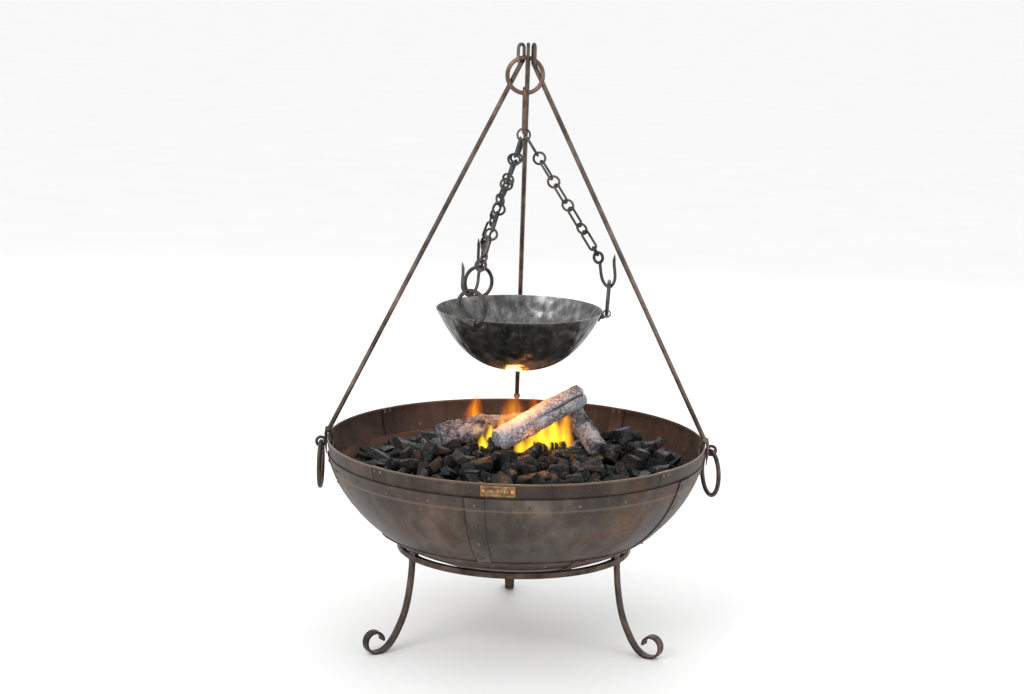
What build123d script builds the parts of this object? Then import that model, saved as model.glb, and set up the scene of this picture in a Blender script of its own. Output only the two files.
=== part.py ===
from build123d import *
import math

# Fire pit: a riveted sheet-steel bowl on a three-legged stand, with a rod tripod that stands on its rim
# and carries a small cooking bowl on three chains. Inside lies a lift-out charcoal grate with its fuel.
# Millimetres, +Z up. The origin is on the floor, on the axis of the bowl, and -Y is the front.

# ---- Driving dimensions ----
SHEET = 2.0               # thickness of the bowl's plates
BAND = 2.5                # thickness of the rim band
SKIN_GAP = 0.05           # air between two lapped plates
FREE_GAP = 0.3            # air between pieces that move against each other
RIM_HEIGHT = 426.5        # top of the fire bowl's rim

# A bowl's outline: rim radius, rim height, depth, power of the depth and power of the radius.
FIRE_BOWL = (399.5, RIM_HEIGHT, 251.5, 1.63, 2.96)
COOK_BOWL = (175.0, 704.5, 126.0, 1.0, 2.8)

HOOP_RADIUS = 249.0       # outside of the stand's hoop
HOOP_BAR = 12.0           # square bar of the hoop
HOOP_TOP = 202.0
LEG_AZIMUTHS = {"front_left": 211.2, "front_right": 331.2, "rear": 91.2}
LEG_WIDTH = 20.0
LEG_THICKNESS = 5.0
LEG_TOP_RADIUS = 246.3    # middle of the bar, under the hoop
# The bar's middle from there down to where the scroll begins: radius and height.
LEG_PATH = [
    (248.5, 157.0),
    (252.2, 128.0),
    (257.5, 100.0),
    (265.5, 73.0),
    (277.0, 48.0),
    (291.5, 24.0),
    (308.0, 8.0),
]
SCROLL_CENTRE = (331.0, 28.0)
SCROLL_START = 25.9       # distance from the scroll's centre to the bar's middle, under it
SCROLL_LOSS = 10.5        # how much nearer the bar's middle is at the scroll's tip
WELD = 4.0                # leg of a weld bead
REST_RADIUS = 242.5       # middle of the three rests that the bowl sits on
REST_SIZE = (10.0, 24.0, 7.0)

BAND_DROP = 31.0          # rim band that shows above the side plates
BAND_TUCK = 28.0          # rim band that runs on behind the side plates
LOWER_TOP = 236.0         # height of the lower course's top edge
SIDE_TUCK = 26.0          # how far the side plates run on behind the lower course
DISH_RADIUS = 192.0
LAP = 5.0                 # degrees that one plate laps over the next
JOGGLE = 0.7              # degrees in which a lapped plate steps outwards
BAND_SEAMS = {"front": -136.0, "right": -43.0, "rear": 53.0, "left": 135.0}
SIDE_SEAMS = {"front": -104.5, "right": -32.5, "rear_right": 39.5, "rear": 111.5, "left": 183.5}
LOWER_SEAMS = {"front": -165.0, "right": -65.0, "rear": 25.0, "left": 115.0}

RIVET_HEAD = 3.6          # radius of a domed head
RIVET_RISE = 2.6          # height of a domed head
RIVET_SHANK = 2.2         # radius
RIVET_TAIL = 1.0          # thickness of the hammered tail inside

PLATE_SIZE = (70.0, 23.0, 1.2)     # name plate: width, height, thickness
PLATE_AZIMUTH = -95.0

EYE_REACH = 413.6         # from the bowl's axis to a handle eye
EYE_HEIGHT = 410.0
EYE_HOLE = 6.3            # radius of the hole
EYE_WIRE = 3.25           # radius of the rod
EYE_INSIDE = 10.5         # from the rim's outside to the eye bolt's inner end
ROVE_RADIUS = 9.0
ROVE_THICKNESS = 2.0
HANDLE_WIRE = 4.75
HANDLE_RADIUS = 47.25     # middle of the wire
HANDLE_YAW = {"left": 0.0, "right": 17.0}

TOP_RING_HEIGHT = 1192.5
TOP_RING_RADIUS = 36.5    # middle of the wire
TOP_RING_WIRE = 4.5
TRIPOD_ROD = 5.0          # radius of a tripod leg
LOOP_WIRE = 3.5           # radius of a tripod leg where it forms its loop
LOOP_HALF = 9.8           # half the loop's width, to the middle of the wire
LOOP_TOP = 1256.5
LOOP_PLAY = 2.2           # air between a loop's closure and the ring
NECK_HEIGHT = 1216.0      # where a tripod leg's straight rod begins
TRIPOD_FOOT = (398.3, 434.0)
# For each tripod leg: x of its loop on the ring, the loop's turn about Z, its foot's azimuth, y of its neck.
TRIPOD_LEGS = {
    "left": (-9.3, 37.0, 178.1, 10.5),
    "right": (17.0, -12.0, -1.9, 11.5),
    "rear": (5.0, 0.0, 90.0, 10.5),
}
# The forged end's tines: radius from the bowl's axis, height and size along each.
OUTER_TINE = [(401.6, 438.5, 4.4), (404.6, 425.0, 3.5), (404.8, 403.0, 2.7), (403.2, 382.0, 1.1)]
INNER_TINE = [(395.0, 437.0, 4.0), (391.0, 424.0, 3.0), (390.0, 413.0, 1.6)]
CLAW_RADIUS = 7.4

HOOK_WIRE = 4.5           # radius of the S-hook's rod
HOOK_HALF = 9.4           # half the width of each of its bends
HOOK_TAILS = (22.0, 21.0)          # its free ends, upper and lower
HOOK_SHANK = (26.0, 28.0)          # straight from each bend to the crossing rod
HOOK_KNEE = 16.0
MASTER_HEIGHT = 1069.7
MASTER_RADIUS = 13.0
MASTER_WIRE = 2.25

CHAIN_AZIMUTHS = {"right": 0.0, "rear_left": 120.0, "front_left": 240.0}
CHAIN_START = {"right": 9.2, "rear_left": -0.8, "front_left": -7.4}    # x on the master ring
CHAIN_WIRE = 2.5
LONG_LINK = (44.2, 14.5)  # middle of the wire: length and width
LAST_LINK = (20.0, 14.0)
ROUND_LINK = 12.0         # middle of the wire: radius
LINK_PLAY = 0.15          # air between two links that pull on each other
LINK_TURNS = (0.0, 85.0, 15.0, 95.0, 20.0, 100.0, 30.0, 110.0, 45.0, 160.0)

HOOK_EYE = (161.9, 817.4)          # radius and height of a chain hook's eye
HOOK_EYE_RADIUS = 10.7
HOOK_ROD = 3.2
# A chain hook's middle line from its eye to its point: outwards and up from the eye's centre.
HOOK_PATH = [
    (4.0, -10.0),
    (7.4, -30.0),
    (16.0, -51.5),
    (29.0, -59.0),
    (40.0, -49.0),
    (42.0, -26.0),
    (39.5, 0.0),
]
HOOK_POINT = 11.0         # length of the tapered point
# For each chain hook: the azimuth that its point faces, and its lean in its own plane.
CHAIN_HOOKS = {"right": (-35.0, 0.0), "rear_left": (105.0, -4.0), "front_left": (205.0, -4.0)}
HOOK_PLAY = 2.3           # air between a hook's bend and the ring that hangs in it
LUG_RING_WIRE = 4.0
LUG_RING_YAW = {"right": -3.0, "rear_left": 0.0, "front_left": -3.0}
LUG_EYE = (183.2, 700.0)           # radius and height of the lug ring's wire in its lug
LUG_HOLE = 6.4
LUG_WALL = 2.3
LUG_KNUCKLE = 7.0
# Radius and height of the web's corners, from inside the plate out to the eye.
LUG_WEB = [(168.2, 688.0), (175.5, 688.0), (189.0, 695.0), (189.0, 700.0), (174.6, 700.5)]
LUG_PLAY = 1.5            # air between the lug's eye and the ring that pulls on it
LUG_HALF_ANGLE = 8.0
LUG_PLATE = 2.5

GRATE_RADIUS = 322.0      # outside of the grate's ring
GRATE_BAR = 10.0
GRATE_PITCH = 27.0
GRATE_SIDE_BARS = 11      # bars on each side of the middle one
GRATE_LIFT = 14.0         # bars' middle above where the ring's outside would meet the wall
RUNNER_X = 120.0
RUNNER_SIZE = (6.0, 8.0)
COAL_EDGE = 338.0         # height of the charcoal at the wall
COAL_CROWN = 412.0        # height of the charcoal in the middle
COAL_SLOPE = ((0.5, 387.5), (0.8, 360.0))      # share of the way to the wall, and height
# For each log: its two ends and its radius.
LOGS = [
    ((-40.0, -66.0, 435.0), (128.0, 44.0, 510.0), 26.0),
    ((-166.0, 4.0, 428.0), (-70.0, 34.0, 438.0), 29.0),
    ((126.0, 66.0, 466.0), (172.0, -22.0, 412.0), 22.0),
    ((-84.0, 98.0, 428.0), (30.0, 110.0, 434.0), 24.0),
]

RUN_POINTS = 9            # points along a bowl's outline
UPWARDS = (Align.CENTER, Align.CENTER, Align.MIN)
DOWNWARDS = (Align.CENTER, Align.CENTER, Align.MAX)


# ---- Helpers ----
def polar(radius, azimuth, height):
    turn = math.radians(azimuth)
    return Vector(radius * math.cos(turn), radius * math.sin(turn), height)


def outline_point(bowl, turn, offset):
    """Radius and height on the bowl's outline: turn is 0 at the rim and 1 at the bottom."""
    radius, height, depth, down, out = bowl
    along = math.cos(turn * math.pi / 2)
    drop = math.sin(turn * math.pi / 2)
    normal_r = out / radius * along ** (2 * (out - 1) / out)
    normal_z = down / depth * drop ** (2 * (down - 1) / down)
    size = math.hypot(normal_r, normal_z)
    return (
        radius * along ** (2 / out) + offset * normal_r / size,
        height - depth * drop ** (2 / down) - offset * normal_z / size,
    )


def turn_at_height(bowl, height):
    radius, top, depth, down, out = bowl
    return 2 / math.pi * math.asin(((top - height) / depth) ** (down / 2))


def turn_at_radius(bowl, wanted):
    radius, top, depth, down, out = bowl
    return 2 / math.pi * math.acos((wanted / radius) ** (out / 2))


def outline_run(bowl, top_turn, bottom_turn, offset):
    points = []
    for step in range(RUN_POINTS):
        turn = top_turn + (bottom_turn - top_turn) * step / (RUN_POINTS - 1)
        r, z = outline_point(bowl, turn, offset)
        points.append((max(r, 0.0) if turn < 1 else 0.0, 0, z))
    return Spline(*points)


def sheet(bowl, top_turn, bottom_turn, inside, outside, start=0.0, span=360.0):
    """A sector of plate that follows the bowl's outline between two offsets."""
    outer = outline_run(bowl, top_turn, bottom_turn, outside)
    inner = outline_run(bowl, top_turn, bottom_turn, inside)
    edges = [outer, Line(outer @ 1, inner @ 1), inner, Line(inner @ 0, outer @ 0)]
    return Rot(0, 0, start) * revolve(make_face(edges), axis=Axis.Z, revolution_arc=span)


def plug(bowl, top_turn, offset, top):
    """The solid inside a bowl's outline, up to a flat top: used to trim what meets the bowl."""
    outer = outline_run(bowl, top_turn, 1.0, offset)
    first = outer @ 0
    last = outer @ 1
    edges = [outer, Polyline(last, (0, 0, top), (first.X, 0, top), first)]
    return revolve(make_face(edges), axis=Axis.Z)


def rod(start, end, radius, end_radius=None):
    start = Vector(*start)
    along = Vector(*end) - start
    place = Plane(origin=start, z_dir=along)
    if end_radius is None or end_radius == radius:
        return place * Cylinder(radius, along.length, align=UPWARDS)
    return place * Cone(radius, end_radius, along.length, align=UPWARDS)


def ball(centre, radius):
    return Pos(*centre) * Sphere(radius)


def slot_ring(length, width, wire):
    """A closed link in the XZ plane, long in Z, measured to the middle of its wire."""
    bend = width / 2
    straight = length / 2 - bend
    arch = Plane.XZ * Torus(bend, wire, major_angle=180, align=None)
    link = Pos(0, 0, straight) * arch + Pos(0, 0, -straight) * (Rot(0, 180, 0) * arch)
    for side in (-bend, bend):
        link += rod((side, 0, -straight), (side, 0, straight), wire)
    return link


def bent_rod(points, radii, wire, plane):
    """A round rod along straight runs joined by arcs, drawn in a plane."""
    path = plane * FilletPolyline(*points, radius=radii)
    section = Plane(origin=path @ 0, z_dir=path % 0) * Circle(wire)
    return sweep(section, path=path)


def save(name, *pieces):
    solids = []
    for piece in pieces:
        solids.extend(piece.solids())
    shape = solids[0] if len(solids) == 1 else Compound(solids)
    export_step(shape, f"parts/{name}.step")


# ---- Rivets ----
def rivet_shape(grip):
    head = ThreePointArc((0, 0, RIVET_RISE), (RIVET_HEAD * 0.76, 0, RIVET_RISE * 0.62), (RIVET_HEAD, 0, 0))
    stem = Polyline(
        (RIVET_HEAD, 0, 0),
        (RIVET_SHANK, 0, 0),
        (RIVET_SHANK, 0, -grip),
        (RIVET_HEAD, 0, -grip),
        (RIVET_HEAD, 0, -grip - RIVET_TAIL),
        (0, 0, -grip - RIVET_TAIL),
        (0, 0, RIVET_RISE),
    )
    return revolve(make_face([head, stem]), axis=Axis.Z)


def rivet_at(bowl, shape, turn, azimuth, offset):
    r, z = outline_point(bowl, turn, offset)
    out_r, out_z = outline_point(bowl, turn, offset + 1)
    spot = polar(r, azimuth, z)
    return Plane(origin=spot, z_dir=polar(out_r, azimuth, out_z) - spot) * shape


# ---- Stand ----
def scroll_points():
    """The bar's middle round the foot: from under the scroll's centre, outwards, up and back in."""
    points = []
    for step in range(1, 10):
        angle = math.radians(-90 + 30 * step)
        reach = SCROLL_START - SCROLL_LOSS * step / 9
        r = SCROLL_CENTRE[0] + reach * math.cos(angle)
        z = SCROLL_CENTRE[1] + reach * math.sin(angle)
        points.append((r, z))
    return points


def stand_leg(azimuth):
    hoop_under = HOOP_TOP - HOOP_BAR
    middle = [(LEG_TOP_RADIUS, hoop_under)] + LEG_PATH
    middle += [(SCROLL_CENTRE[0], SCROLL_CENTRE[1] - SCROLL_START)] + scroll_points()
    centre = Spline(*[(r, 0, z) for r, z in middle], tangents=[(0.05, 0, -1), (0.05, 0, -1)])
    sides = []
    for side in (-LEG_THICKNESS / 2, LEG_THICKNESS / 2):
        points = []
        for step in range(31):
            spot = centre @ (step / 30)
            along = centre % (step / 30)
            points.append((spot.X - side * along.Z, 0, spot.Z + side * along.X))
        sides.append(Spline(*points))
    left, right = sides
    bar = make_face([left, Line(left @ 1, right @ 1), right, Line(right @ 0, left @ 0)])
    leg = extrude(bar, amount=LEG_WIDTH / 2, both=True)
    above_hoop = Pos(LEG_TOP_RADIUS, 0, hoop_under) * Box(60, 60, 20, align=UPWARDS)
    below_floor = Pos(SCROLL_CENTRE[0], 0, 0) * Box(80, 60, 20, align=DOWNWARDS)
    return Rot(0, 0, azimuth) * (leg - above_hoop - below_floor)


def leg_welds(azimuth):
    """Fillet beads where a leg's top meets the underside of the hoop."""
    under = HOOP_TOP - HOOP_BAR
    inner = LEG_TOP_RADIUS - LEG_THICKNESS / 2 - FREE_GAP
    corner = Polyline((inner, 0, under), (inner - WELD, 0, under), (inner, 0, under - WELD), close=True)
    beads = [extrude(make_face(corner), amount=LEG_WIDTH / 2 - 1, both=True)]
    for side in (-1, 1):
        edge = side * LEG_WIDTH / 2
        start = LEG_TOP_RADIUS - WELD / 2
        corners = ((start, edge, under), (start, edge + side * WELD, under), (start, edge, under - WELD))
        beads.append(extrude(make_face(Polyline(*corners, close=True)), amount=WELD, dir=(1, 0, 0)))
    return [Rot(0, 0, azimuth) * bead for bead in beads]


def make_stand():
    square = Plane.XZ * Rectangle(HOOP_BAR, HOOP_BAR)
    square = Pos(HOOP_RADIUS - HOOP_BAR / 2, 0, HOOP_TOP - HOOP_BAR / 2) * square
    save("stand_hoop", revolve(square, axis=Axis.Z))
    welds = []
    rests = []
    trim = plug(FIRE_BOWL, 0.2, 2 * (SHEET + SKIN_GAP) + FREE_GAP, RIM_HEIGHT)
    for name, azimuth in LEG_AZIMUTHS.items():
        save(f"stand_leg_{name}", stand_leg(azimuth))
        welds += leg_welds(azimuth)
        block = Pos(REST_RADIUS, 0, HOOP_TOP) * Box(*REST_SIZE, align=UPWARDS)
        rests.append(Rot(0, 0, azimuth) * block - trim)
    save("stand_welds", *welds)
    save("bowl_rests", *rests)


# ---- Fire bowl ----
def next_seam(seams, name):
    """Degrees from this seam to the next one round the bowl."""
    order = sorted(seams.values())
    here = order.index(seams[name])
    following = order[(here + 1) % len(order)]
    return (following - seams[name]) % 360


def outside_lapped(seams, name, top, bottom, lap_bottom, inside, outside):
    """A plate whose first edge steps outwards over the end of the plate before it."""
    start = seams[name]
    span = next_seam(seams, name)
    step = SHEET + SKIN_GAP
    main = sheet(FIRE_BOWL, top, bottom, inside, outside, start + LAP, span - 0.3)
    lap = sheet(FIRE_BOWL, top, lap_bottom, inside + step, outside + step, start, LAP + JOGGLE)
    joggle = sheet(FIRE_BOWL, top, lap_bottom, inside, outside + step, start + LAP, JOGGLE)
    return main + lap + joggle


def make_rim_band(top, bottom):
    tongue_in = -2 * BAND - SKIN_GAP
    for name, start in BAND_SEAMS.items():
        span = next_seam(BAND_SEAMS, name)
        main = sheet(FIRE_BOWL, top, bottom, -BAND, 0, start, span - 0.1)
        step = sheet(FIRE_BOWL, top, bottom, tongue_in, 0, start + span - 0.1 - JOGGLE, JOGGLE)
        tongue = sheet(FIRE_BOWL, top, bottom, tongue_in, -BAND - SKIN_GAP, start + span - 0.1 - JOGGLE, LAP)
        save(f"rim_band_{name}", main + step + tongue)


def make_fire_bowl():
    skin = SHEET + SKIN_GAP
    band_low = turn_at_height(FIRE_BOWL, RIM_HEIGHT - BAND_DROP - BAND_TUCK)
    side_top = turn_at_height(FIRE_BOWL, RIM_HEIGHT - BAND_DROP)
    lower_top = turn_at_height(FIRE_BOWL, LOWER_TOP)
    side_low = turn_at_height(FIRE_BOWL, LOWER_TOP - SIDE_TUCK)
    dish_edge = turn_at_radius(FIRE_BOWL, DISH_RADIUS)
    lower_low = turn_at_radius(FIRE_BOWL, DISH_RADIUS - 22)
    clear = 0.004

    make_rim_band(0.0, band_low)
    # The five side plates are alike: one is made, and turned to each place.
    plate = outside_lapped(SIDE_SEAMS, "left", side_top, side_low, lower_top - clear, SKIN_GAP, skin)
    for name, start in SIDE_SEAMS.items():
        save(f"side_plate_{name}", Rot(0, 0, start - SIDE_SEAMS["left"]) * plate)
    for name in LOWER_SEAMS:
        lap_low = dish_edge - clear
        plate = outside_lapped(LOWER_SEAMS, name, lower_top, lower_low, lap_low, skin + SKIN_GAP, 2 * skin)
        save(f"lower_plate_{name}", plate)
    save("base_dish", sheet(FIRE_BOWL, dish_edge, 1.0, 2 * skin + SKIN_GAP, 3 * skin))

    make_bowl_rivets(side_top, lower_top, dish_edge)
    make_name_plate()


def make_bowl_rivets(side_top, lower_top, dish_edge):
    skin = SHEET + SKIN_GAP
    rim_grip = SHEET + BAND + SKIN_GAP
    pair_grip = 2 * SHEET + SKIN_GAP
    rim_rivet = rivet_shape(rim_grip)
    pair_rivet = rivet_shape(pair_grip)

    rim_row = turn_at_height(FIRE_BOWL, RIM_HEIGHT - BAND_DROP - 17)
    row = []
    for count in range(24):
        azimuth = -86 + 15 * count
        on_lap = any(0 <= (azimuth - seam) % 360 <= LAP + JOGGLE for seam in SIDE_SEAMS.values())
        if not on_lap:
            row.append(rivet_at(FIRE_BOWL, rim_rivet, rim_row, azimuth, skin))
    save("rim_row_rivets", *row)

    lower_row = turn_at_height(FIRE_BOWL, LOWER_TOP - 11)
    row = [rivet_at(FIRE_BOWL, pair_rivet, lower_row, -99 + 22.5 * count, 2 * skin) for count in range(16)]
    save("lower_row_rivets", *row)

    dish_row = turn_at_radius(FIRE_BOWL, DISH_RADIUS - 11)
    row = [rivet_at(FIRE_BOWL, pair_rivet, dish_row, -98 + 15 * count, 3 * skin) for count in range(24)]
    save("dish_rivets", *row)

    seams = []
    for seam in SIDE_SEAMS.values():
        for share in (0.1, 0.37, 0.64, 0.9):
            turn = side_top + (lower_top - side_top) * share
            seams.append(rivet_at(FIRE_BOWL, pair_rivet, turn, seam + LAP * 0.55, 2 * skin))
    for seam in LOWER_SEAMS.values():
        for share in (0.45, 0.8):
            turn = lower_top + (dish_edge - lower_top) * share
            seams.append(rivet_at(FIRE_BOWL, pair_rivet, turn, seam + LAP * 0.55, 3 * skin))
    save("seam_rivets", *seams)

    band_rivet = rivet_shape(2 * BAND + SKIN_GAP)
    joints = []
    for seam in BAND_SEAMS.values():
        for ahead, drop in ((1.0, 8.0), (3.2, 8.0)):
            turn = turn_at_height(FIRE_BOWL, RIM_HEIGHT - drop)
            joints.append(rivet_at(FIRE_BOWL, band_rivet, turn, seam + ahead, 0))
    save("rim_band_rivets", *joints)


def make_name_plate():
    width, height, thickness = PLATE_SIZE
    span = math.degrees(width / FIRE_BOWL[0])
    top = turn_at_height(FIRE_BOWL, RIM_HEIGHT - (BAND_DROP - height) / 2)
    bottom = turn_at_height(FIRE_BOWL, RIM_HEIGHT - (BAND_DROP + height) / 2)
    start = PLATE_AZIMUTH - span / 2
    save("name_plate", sheet(FIRE_BOWL, top, bottom, SKIN_GAP, SKIN_GAP + thickness, start, span))
    pin = rivet_shape(thickness + BAND + SKIN_GAP)
    middle = turn_at_height(FIRE_BOWL, RIM_HEIGHT - BAND_DROP / 2)
    pins = []
    for share in (0.09, 0.91):
        pins.append(rivet_at(FIRE_BOWL, pin, middle, start + span * share, thickness + SKIN_GAP))
    save("name_plate_pins", *pins)


# ---- Ring handles ----
def handle_eye():
    """An eye bolt on the +X side: the eye, its shank through the band, and its tails clenched inside."""
    eye = Pos(EYE_REACH, 0, EYE_HEIGHT) * (Plane.XZ * Torus(EYE_HOLE + EYE_WIRE, EYE_WIRE))
    inside = FIRE_BOWL[0] - EYE_INSIDE
    shank = rod((EYE_REACH - EYE_HOLE - EYE_WIRE, 0, EYE_HEIGHT), (inside, 0, EYE_HEIGHT), EYE_WIRE)
    bolt = eye + shank + ball((inside, 0, EYE_HEIGHT), EYE_WIRE)
    for side in (-1, 1):
        knee = (inside - 1.5, side * 13, EYE_HEIGHT - 6)
        tip = (inside - 3.5, side * 19, EYE_HEIGHT - 20)
        bolt += rod((inside, 0, EYE_HEIGHT), knee, EYE_WIRE, 2.6)
        bolt += ball(knee, 2.6) + rod(knee, tip, 2.6, 1.2)
    return bolt


def handle_rove():
    """The washer under an eye bolt's tails."""
    disc = Cylinder(ROVE_RADIUS, ROVE_THICKNESS, align=DOWNWARDS)
    disc = rivet_at(FIRE_BOWL, disc, turn_at_height(FIRE_BOWL, EYE_HEIGHT), 0, -BAND - FREE_GAP)
    inside = FIRE_BOWL[0] - 2 * EYE_INSIDE
    return disc - rod((EYE_REACH, 0, EYE_HEIGHT), (inside, 0, EYE_HEIGHT), EYE_WIRE + SKIN_GAP)


def make_handles():
    roves = []
    for name, azimuth in (("left", 180), ("right", 0)):
        side = Rot(0, 0, azimuth)
        save(f"handle_eye_{name}", side * handle_eye())
        roves.append(side * handle_rove())
        ring = Rot(0, 0, HANDLE_YAW[name]) * (Plane.YZ * Torus(HANDLE_RADIUS, HANDLE_WIRE))
        drop = EYE_HOLE - HANDLE_WIRE - FREE_GAP
        centre = polar(EYE_REACH, azimuth, EYE_HEIGHT - drop - HANDLE_RADIUS)
        save(f"handle_ring_{name}", Pos(*centre) * ring)
    save("handle_roves", *roves)


# ---- Tripod ----
def wire_height(x):
    """Height of the middle of the top ring's wire, above its centre, at x."""
    return TOP_RING_HEIGHT + math.sqrt(TOP_RING_RADIUS ** 2 - x ** 2)


def tripod_leg(loop_x, loop_turn, foot_azimuth, neck_y):
    slope = math.cos(math.asin(loop_x / TOP_RING_RADIUS))
    closure = wire_height(loop_x) - TOP_RING_WIRE / slope - LOOP_WIRE - LOOP_PLAY
    length = LOOP_TOP - closure
    loop = Rot(0, 0, 90 - loop_turn) * slot_ring(length, 2 * LOOP_HALF, LOOP_WIRE)
    loop = Pos(loop_x, 0, closure + length / 2) * loop
    neck = (loop_x, neck_y, NECK_HEIGHT)
    back = (
        loop_x + LOOP_HALF * math.sin(math.radians(loop_turn)),
        LOOP_HALF * math.cos(math.radians(loop_turn)),
        closure + LOOP_HALF + 4,
    )
    foot = polar(TRIPOD_FOOT[0], foot_azimuth, TRIPOD_FOOT[1])
    leg = loop + rod(neck, back, TRIPOD_ROD, LOOP_WIRE) + ball(neck, TRIPOD_ROD) + rod(neck, foot, TRIPOD_ROD)
    return leg + tripod_claw(foot_azimuth)


def tripod_claw(azimuth):
    """The forged end that straddles the rim: a long tine outside it and a short one inside."""
    reach, height = TRIPOD_FOOT
    claw = Pos(reach, 0, height) * Sphere(CLAW_RADIUS)
    for tine in (OUTER_TINE, INNER_TINE):
        for (r0, z0, size0), (r1, z1, size1) in zip(tine, tine[1:]):
            claw += rod((r0, 0, z0), (r1, 0, z1), size0, size1)
            claw += ball((r1, 0, z1), size1)
    outer = Cylinder(FIRE_BOWL[0] + FREE_GAP + 0.1, 40 + FREE_GAP, align=UPWARDS)
    inner = Cylinder(FIRE_BOWL[0] - 2 * BAND - 0.5, 60, align=UPWARDS)
    rim = Pos(0, 0, RIM_HEIGHT - 40) * (outer - inner)
    return Rot(0, 0, azimuth) * (claw - rim)


def make_tripod():
    ring = Pos(0, 0, TOP_RING_HEIGHT) * (Plane.XZ * Torus(TOP_RING_RADIUS, TOP_RING_WIRE))
    save("tripod_ring", ring)
    for name, place in TRIPOD_LEGS.items():
        save(f"tripod_leg_{name}", tripod_leg(*place))


# ---- S-hook, master ring and chains ----
def make_s_hook():
    upper = TOP_RING_HEIGHT - TOP_RING_RADIUS + TOP_RING_WIRE + FREE_GAP + HOOK_WIRE
    lower = MASTER_HEIGHT + MASTER_RADIUS - MASTER_WIRE - FREE_GAP - HOOK_WIRE
    half = HOOK_HALF
    points = [
        (-half, upper - HOOK_TAILS[0]),
        (-half, upper),
        (half, upper),
        (half, upper - HOOK_SHANK[0]),
        (-half, lower + HOOK_SHANK[1]),
        (-half, lower),
        (half, lower),
        (half, lower + HOOK_TAILS[1]),
    ]
    bend = half - 0.1
    radii = [bend, bend, HOOK_KNEE, HOOK_KNEE, bend, bend]
    save("s_hook", bent_rod(points, radii, HOOK_WIRE, Plane.YZ))
    master = Pos(0, 0, MASTER_HEIGHT) * (Plane.XZ * Torus(MASTER_RADIUS, MASTER_WIRE))
    save("master_ring", master)


def nearest_turn(angle):
    """A turn of a link is the same every 180 degrees: the one nearest to none."""
    return (angle + 90) % 180 - 90


def chain_frame(name):
    """The chain's start, its direction, and the two directions across it."""
    x = CHAIN_START[name]
    wire = Vector(x, 0, MASTER_HEIGHT - math.sqrt(MASTER_RADIUS ** 2 - x ** 2))
    eye = polar(HOOK_EYE[0], CHAIN_AZIMUTHS[name], HOOK_EYE[1])
    eye_normal = polar(1, CHAIN_HOOKS[name][0] + 90, 0)
    back = wire - eye
    eye_wire = eye + (back - eye_normal * back.dot(eye_normal)).normalized() * HOOK_EYE_RADIUS
    along = (eye_wire - wire).normalized()
    start = wire - along * (MASTER_WIRE + CHAIN_WIRE + LINK_PLAY)
    end = eye_wire + along * (HOOK_ROD + CHAIN_WIRE + LINK_PLAY)
    level = Vector(-along.Y, along.X, 0).normalized()
    return start, end, along, level.cross(along), level


def turn_to(across, level, direction):
    return math.degrees(math.atan2(direction.dot(level), direction.dot(across)))


def make_chain(name):
    start, end, along, across, level = chain_frame(name)
    contact = 2 * CHAIN_WIRE + LINK_PLAY
    half_lengths = [LONG_LINK[0] / 2, ROUND_LINK] * 4 + [LONG_LINK[0] / 2, LAST_LINK[0] / 2]
    spots = []
    here = 0.0
    for half in half_lengths:
        spots.append(here + half)
        here += 2 * half - contact
    stretch = (end - start).length / (here + contact)
    first = nearest_turn(turn_to(across, level, Vector(1, 0, 0)))
    eye_normal = polar(1, CHAIN_HOOKS[name][0] + 90, 0)
    last = nearest_turn(turn_to(across, level, eye_normal) - 90)
    rounds = []
    longs = []
    last_index = len(spots) - 1
    for index, spot in enumerate(spots):
        share = index / last_index
        turn = math.radians(LINK_TURNS[index] + first * (1 - share) + last * share)
        normal = across * math.cos(turn) + level * math.sin(turn)
        place = Plane(origin=start + along * (spot * stretch), x_dir=normal.cross(along), z_dir=along)
        if index == last_index:
            longs.append(place * slot_ring(*LAST_LINK, CHAIN_WIRE))
        elif index % 2:
            rounds.append(place * (Plane.XZ * Torus(ROUND_LINK, CHAIN_WIRE)))
        else:
            longs.append(place * slot_ring(*LONG_LINK, CHAIN_WIRE))
    save(f"chain_rings_{name}", *rounds)
    save(f"chain_links_{name}", *longs)


def hook_bottom(name):
    """Middle of the lug ring's wire where it rests in the bend of the chain hook."""
    azimuth, lean = CHAIN_HOOKS[name]
    eye = polar(HOOK_EYE[0], CHAIN_AZIMUTHS[name], HOOK_EYE[1])
    turn = math.radians(lean)
    out, up = HOOK_PATH[3]
    lift = HOOK_ROD + LUG_RING_WIRE + HOOK_PLAY
    return eye + polar(
        out * math.cos(turn) - up * math.sin(turn),
        azimuth,
        out * math.sin(turn) + up * math.cos(turn) + lift,
    )


def make_chain_hook(name):
    azimuth, lean = CHAIN_HOOKS[name]
    eye = Plane.XZ * Torus(HOOK_EYE_RADIUS, HOOK_ROD)
    path = Spline(*[(out, 0, up) for out, up in HOOK_PATH])
    section = Plane(origin=path @ 0, z_dir=path % 0) * Circle(HOOK_ROD)
    tip = path @ 1
    point = rod(tip, tip + (path % 1) * HOOK_POINT, HOOK_ROD, 0.6)
    hook = Rot(0, -lean, 0) * (eye + sweep(section, path=path) + point)
    centre = polar(HOOK_EYE[0], CHAIN_AZIMUTHS[name], HOOK_EYE[1])
    save(f"chain_hook_{name}", Pos(*centre) * (Rot(0, 0, azimuth) * hook))


# ---- Cooking bowl ----
def make_lug_ring(name):
    top = hook_bottom(name)
    azimuth = CHAIN_AZIMUTHS[name]
    bottom = polar(LUG_EYE[0], azimuth, LUG_EYE[1])
    radius = (top - bottom).length / 2
    level = polar(1, azimuth + 90 + LUG_RING_YAW[name], 0)
    rise = (top - bottom).normalized()
    normal = level.cross(rise)
    place = Plane(origin=(top + bottom) * 0.5, x_dir=rise, z_dir=normal)
    save(f"lug_ring_{name}", place * Torus(radius, LUG_RING_WIRE))


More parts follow.
